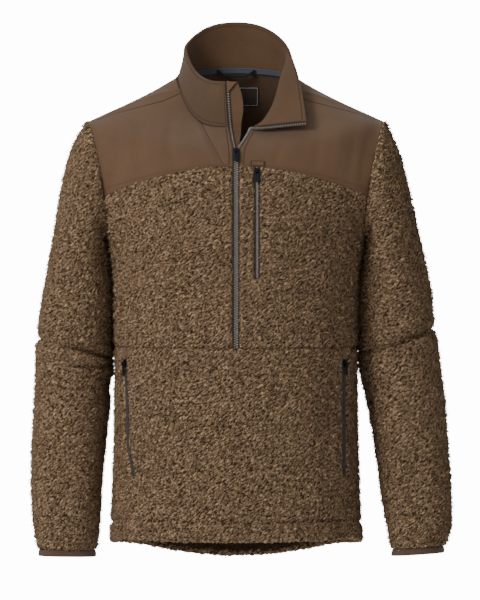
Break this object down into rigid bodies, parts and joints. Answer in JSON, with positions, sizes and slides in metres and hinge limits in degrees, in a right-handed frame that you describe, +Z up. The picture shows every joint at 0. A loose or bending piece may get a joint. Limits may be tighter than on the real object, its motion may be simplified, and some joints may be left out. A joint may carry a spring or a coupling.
{
  "type": "sherpa fleece half-zip pullover",
  "caption": "Deep-pile fleece half-zip pullover with a smooth woven yoke and stand collar, zipped chest and hand pockets, elastic cuffs and a drop-tail hem.",
  "frame": {"origin": "middle of the neck opening at the height of the shoulder points, where the wearer's neck and shoulders hold the garment up", "axes": "+X to the wearer's left, -Y to the front, +Z up"},
  "size_m": [0.652, 0.2972, 0.8402],
  "materials": {
    "fleece": "short curly sherpa pile, matte brown",
    "yoke_cloth": "smooth plain-woven shell cloth, brown, faint sheen",
    "facing_cloth": "smooth dark brown facing cloth",
    "cuff_binding": "stretch binding, dark brown",
    "neck_tape": "blue-grey woven tape",
    "hang_loop": "dark braided cord",
    "zip_tape": "woven zip tape with moulded teeth",
    "zip_slider": "dark navy painted metal",
    "zip_pull": "dark navy moulded pull tab"
  },
  "bodies": {
    "garment": {"lower_front": "fleece", "chest_left": "fleece", "chest_right": "fleece", "back_body": "fleece", "sleeve_upper_right": "fleece", "sleeve_upper_left": "fleece", "sleeve_lower_right": "fleece", "sleeve_lower_left": "fleece", "yoke_front_left": "yoke_cloth", "yoke_front_right": "yoke_cloth", "yoke_back": "yoke_cloth", "collar": "yoke_cloth", "collar_facing": "facing_cloth", "zip_guard": "facing_cloth", "zip_garage": "yoke_cloth", "chest_garage": "yoke_cloth", "pocket_garage_right": "yoke_cloth", "pocket_garage_left": "yoke_cloth", "cuff_right": "cuff_binding", "cuff_left": "cuff_binding", "neck_tape": "neck_tape", "hang_loop": "hang_loop", "front_tape_right": "zip_tape", "front_tape_left": "zip_tape", "chest_zip": "zip_tape", "pocket_zip_right": "zip_tape", "pocket_zip_left": "zip_tape", "front_slider": "zip_slider", "chest_slider": "zip_slider", "pocket_slider_right": "zip_slider", "pocket_slider_left": "zip_slider"},
    "front_pull_tab": {"front_pull": "zip_pull"},
    "chest_pull_tab": {"chest_pull": "zip_pull"},
    "pocket_pull_tab_right": {"pocket_pull_right": "zip_pull"},
    "pocket_pull_tab_left": {"pocket_pull_left": "zip_pull"}
  },
  "joints": [
    {"name": "front_pull_swing", "type": "hinge", "parent": "garment", "child": "front_pull_tab", "pos_m": [0, -0.1135, -0.11126], "axis": [-1, 0, 0], "range_deg": [0, 160]},
    {"name": "chest_pull_swing", "type": "hinge", "parent": "garment", "child": "chest_pull_tab", "pos_m": [0.03284, -0.1288, -0.14268], "axis": [-0.9982, -0.056, 0.0215], "range_deg": [0, 160]},
    {"name": "pocket_pull_swing_right", "type": "hinge", "parent": "garment", "child": "pocket_pull_tab_right", "pos_m": [-0.1747, -0.07016, -0.44095], "axis": [-0.4555, 0.8792, -0.1399], "range_deg": [0, 160]},
    {"name": "pocket_pull_swing_left", "type": "hinge", "parent": "garment", "child": "pocket_pull_tab_left", "pos_m": [0.17096, -0.07725, -0.44097], "axis": [-0.5067, -0.862, 0.0145], "range_deg": [0, 160]}
  ]
}
